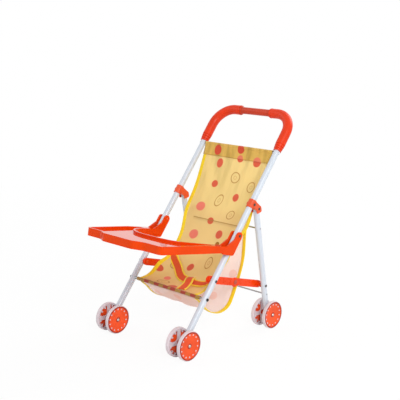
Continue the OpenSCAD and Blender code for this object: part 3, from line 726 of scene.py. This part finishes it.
seat_tapes = [edge_tape(f"seat_binding_{name}", seat_rows, side) for name, side in SIDES]
basket_tapes = [edge_tape(f"basket_binding_{name}", basket_rows, side) for name, side in SIDES]

# ---- the cloth turned round the rods ----

HEM_BAND = 23.5 * MM
HEM_R = ROD_R + 1.5 * MM
HEM_TURNS, HEM_STEPS = 14, 10
HEM_LIFT, HEM_PUCKER = 1.0 * MM, 1.6 * MM
HEM_FALL = 2 * HEM_R - 3 * MM
HEM_RUCK, SLEEVE_RUCK = 0.12, 0.14
SLEEVE_R = ROD_R + 0.8 * MM
SLEEVE_HALF = half_size("seat_bottom") + 1.7 * MM
SLEEVE_START, SLEEVE_TURN = math.radians(-70), math.radians(318)
SLEEVE_STEPS = 20
SLEEVE_PRINT = 5.5 * SLEEVE_R


def hem_on_rod(i, u):
    """A point of the hem over the top rod, from behind it to its front."""
    angle = math.pi * i / HEM_TURNS
    ruck = 1 + HEM_RUCK * wave(u * 9, angle, 3.0)
    p = TOP_ROD + (BEHIND * math.cos(angle) + UP * math.sin(angle)) * HEM_R * ruck
    return Vector((u * BACK_HALF, p.y, p.z))


def hem_on_seat(i, u):
    """A point of the hem's band, which falls from the rod's front to lie down the front of the seat."""
    share = i / HEM_STEPS
    v = HEM_BAND * share / seat_length
    k = min(ROWS, round(v * ROWS))
    p = seat_point(k, u)
    step = seat_point(min(k + 1, ROWS), u) - p
    pucker = (0.5 + 0.5 * wave(u * 10, share, 5.0)) * share * HEM_PUCKER
    lead = HEM_LIFT + HEM_FALL * (1 - share) ** 2 + pucker
    p = p + step * (v * ROWS - k) - BEHIND * lead
    return Vector((u * seat_half(v), p.y, p.z))


def top_band():
    """The hem that carries the top rod: over the rod from behind and down the front of the seat."""
    grid = grid_of(hem_on_rod, HEM_TURNS) + grid_of(hem_on_seat, HEM_STEPS)[1:]
    down = [HEM_R * math.pi * (i / HEM_TURNS - 1) for i in range(HEM_TURNS + 1)]
    down += [HEM_BAND * i / HEM_STEPS for i in range(1, HEM_STEPS + 1)]
    return cloth("top_hem", grid, HEM_CLOTH, lambda i, j: (across_at(j) * BACK_HALF, down[i]))


def sleeve_point(i, u):
    """A point of the front sleeve, round the front rod."""
    angle = SLEEVE_START + SLEEVE_TURN * i / SLEEVE_STEPS
    ruck = 1 + SLEEVE_RUCK * wave(u * 14, angle * 1.5, 7.0)
    p = FRONT_ROD + Vector((0, math.cos(angle), math.sin(angle))) * SLEEVE_R * ruck
    return Vector((u * SLEEVE_HALF, p.y, p.z))


def rod_sleeve():
    """The seat's front edge, sewn round the front rod."""
    return cloth("front_sleeve", grid_of(sleeve_point, SLEEVE_STEPS), ROD_CLOTH,
                 lambda i, j: (across_at(j) * SLEEVE_HALF, SLEEVE_PRINT * i / SLEEVE_STEPS))


top_hem = top_band()
front_sleeve = rod_sleeve()

# ---- straps ----

STRAP_WIDE, STRAP_THICK = 16 * MM, 1.2 * MM
STRAP_ROWS, STRAP_COLS = 48, 6
STRAP_CURL = 0.5 * MM
STRAP_EDGE_WIDE, STRAP_EDGE_THICK = 3.6 * MM, 2.0 * MM


def strap(name, points, faces):
    """Webbing along a path, its flat side facing the given ways, with a bound edge on each side.

    Gives the band, its two edges and the size it was cut to."""
    path = rounded(points, STRAP_ROWS)
    looks = rounded(faces, STRAP_ROWS)
    across, out = [], []
    for i, look in enumerate(looks):
        way = way_at(path, i)
        out.append((look - way * look.dot(way)).normalized())
        across.append(out[i].cross(way).normalized())

    def strap_point(i, share):
        curl = STRAP_CURL * (2 * share - 1) ** 2
        return path[i] + across[i] * (STRAP_WIDE * (share - 0.5)) - out[i] * curl

    grid = [[strap_point(i, k / STRAP_COLS) for k in range(STRAP_COLS + 1)] for i in range(STRAP_ROWS + 1)]
    run = lengths(path)[-1]
    band = cloth(name, grid, WEBBING,
                 lambda i, j: (STRAP_WIDE * (j / STRAP_COLS - 0.5), run * i / STRAP_ROWS), STRAP_THICK)
    tapes = [tape(f"{name}_edge_{side}", [row[k] for row in grid], across, out, BINDING,
                  STRAP_EDGE_WIDE, STRAP_EDGE_THICK) for side, k in (("a", 0), ("b", STRAP_COLS))]
    return band, tapes, (STRAP_WIDE, run)


def strap_on_seat(name, stops):
    """A strap laid on the seat through stops of u, v and millimetres above the cloth."""
    points, ways = [], []
    for u, v, lift in stops:
        i = round(v * ROWS)
        out = -back_of(way_at(seat_line, i))
        points.append(seat_point(i, u) + out * lift * MM)
        ways.append(out)
    return strap(name, points, ways)


belt = strap_on_seat("lap_strap", [
    (-0.93, 0.705, 2), (-0.8, 0.735, 3), (-0.5, 0.79, 3), (-0.15, 0.85, 4),
    (0.2, 0.875, 4), (0.5, 0.88, 4), (0.75, 0.865, 3), (0.97, 0.83, 2)
])
crotch = strap_on_seat("crotch_loop", [
    (0.42, 0.985, 2), (0.38, 0.96, 4), (0.33, 0.92, 7), (0.27, 0.885, 9), (0.22, 0.86, 8), (0.2, 0.845, 5)
])

# ---- what each piece rides on ----


def folds(obj, slot_name, *cad):
    """Cloth that rides on the frame, in place of the given CAD nodes, which are hidden."""
    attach(obj, "frame")
    if cad:
        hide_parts(*cad)
    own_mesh(obj)


folds(sling, "seat_fabric", "seat_back", "seat_seam", "seat_bottom")
folds(basket, "basket_fabric", "basket_floor", "basket_back")
for edge in seat_tapes + basket_tapes:
    folds(edge, "binding")
for (band, edges, _), cad_node in ((belt, "waist_belt"), (crotch, "crotch_strap")):
    folds(band, "webbing", cad_node)
    for edge in edges:
        folds(edge, "binding")
for piece in (top_hem, front_sleeve):
    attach(piece, "frame")

# ---- floor and light ----

WHITE_LIGHT = (1, 1, 1)
FLOOR_R, FLOOR_SIDES = 6.0, 64
FLOOR_TINT = (0.9, 0.9, 0.9)
# The floor's share of plain white, from near the stroller, where its shadow shows, to far from it.
WHITE_NEAR, WHITE_FAR = 0.93, 1.0
NEAR_R, FAR_R = 0.3, 1.6
ROOM_TINT, ROOM_POWER = (1.0, 0.99, 0.97), 0.6
MIDDLE = Vector((0, 0, 0.22))


def floor_white(name):
    """Nearly plain white to camera and glossy rays, with the shadow kept, and a pale floor to the light."""
    s = Shader(name, FLOOR_TINT, 0.9)
    away = s.add("ShaderNodeVectorMath", operation="LENGTH")
    s.wire(s.coords["Object"], away.inputs[0])
    white_share = s.ramp(away.outputs["Value"], NEAR_R, FAR_R, WHITE_NEAR, WHITE_FAR, smooth=False)
    glow = s.add("ShaderNodeEmission")
    s.put_colour(glow.inputs["Color"], WHITE_LIGHT)
    share = s.maths("MULTIPLY", s.seen_by("Camera", "Glossy"), white_share)
    s.surface(s.layer(share, s.bsdf.outputs[0], glow.outputs[0]))
    return s.mat


def add_floor():
    """A wide round floor under the wheels."""
    turns = [math.tau * k / FLOOR_SIDES for k in range(FLOOR_SIDES)]
    mesh = bpy.data.meshes.new("floor")
    mesh.from_pydata([(FLOOR_R * math.cos(t), FLOOR_R * math.sin(t), 0) for t in turns], [],
                     [tuple(range(FLOOR_SIDES))])
    mesh.materials.append(floor_white("floor_white"))
    floor = bpy.data.objects.new("floor", mesh)
    scene.collection.objects.link(floor)


def light_room():
    """A softly lit room, which shows as plain white to camera, glossy and transmission rays."""
    scene.world = bpy.data.worlds.new("studio")
    scene.world.use_nodes = True
    room = Nodes(scene.world.node_tree)
    lit = room.tree.nodes["Background"]
    room.put_colour(lit.inputs["Color"], ROOM_TINT)
    lit.inputs["Strength"].default_value = ROOM_POWER
    seen = room.add("ShaderNodeBackground")
    room.put_colour(seen.inputs["Color"], WHITE_LIGHT)
    share = room.seen_by("Camera", "Glossy", "Transmission")
    both = room.layer(share, lit.outputs[0], seen.outputs[0])
    room.wire(both, room.tree.nodes["World Output"].inputs["Surface"])


def lamp(name, where, size, power):
    """A round soft lamp turned to the stroller's middle."""
    light = bpy.data.lights.new(name, "AREA")
    light.shape = "DISK"
    light.size = size
    light.energy = power
    obj = bpy.data.objects.new(name, light)
    obj.location = where
    obj.rotation_mode = "QUATERNION"
    obj.rotation_quaternion = (MIDDLE - Vector(where)).to_track_quat("-Z", "Y")
    scene.collection.objects.link(obj)


scene = bpy.context.scene
scene.view_settings.view_transform = "Standard"
add_floor()
light_room()
lamp("key", (1.9, -0.9, 1.5), 1.1, 30)
lamp("fill", (-1.6, -1.1, 1.4), 1.4, 7)
lamp("rim", (0.2, 1.7, 1.5), 1.0, 16)

# ---- camera, at the photograph's viewing angle ----

LENS, SENSOR = 75.1, 36
AZIMUTH, ELEVATION, ROLL = math.radians(43.02), math.radians(11.72), math.radians(0.96)
DISTANCE = 1.6629
AIM = Vector((0, 0.02136, 0.26431))


def add_camera():
    """The photograph's camera, a little rolled."""
    data = bpy.data.cameras.new("camera")
    data.lens = LENS
    data.sensor_width = SENSOR
    camera = bpy.data.objects.new("camera", data)
    level = math.cos(ELEVATION)
    toward = Vector((math.sin(AZIMUTH) * level, -math.cos(AZIMUTH) * level, math.sin(ELEVATION)))
    roll = Matrix.Rotation(ROLL, 3, "Z").to_quaternion()
    camera.location = AIM + toward * DISTANCE
    camera.rotation_mode = "QUATERNION"
    camera.rotation_quaternion = (-toward).to_track_quat("-Z", "Y") @ roll
    scene.collection.objects.link(camera)
    scene.camera = camera


add_camera()
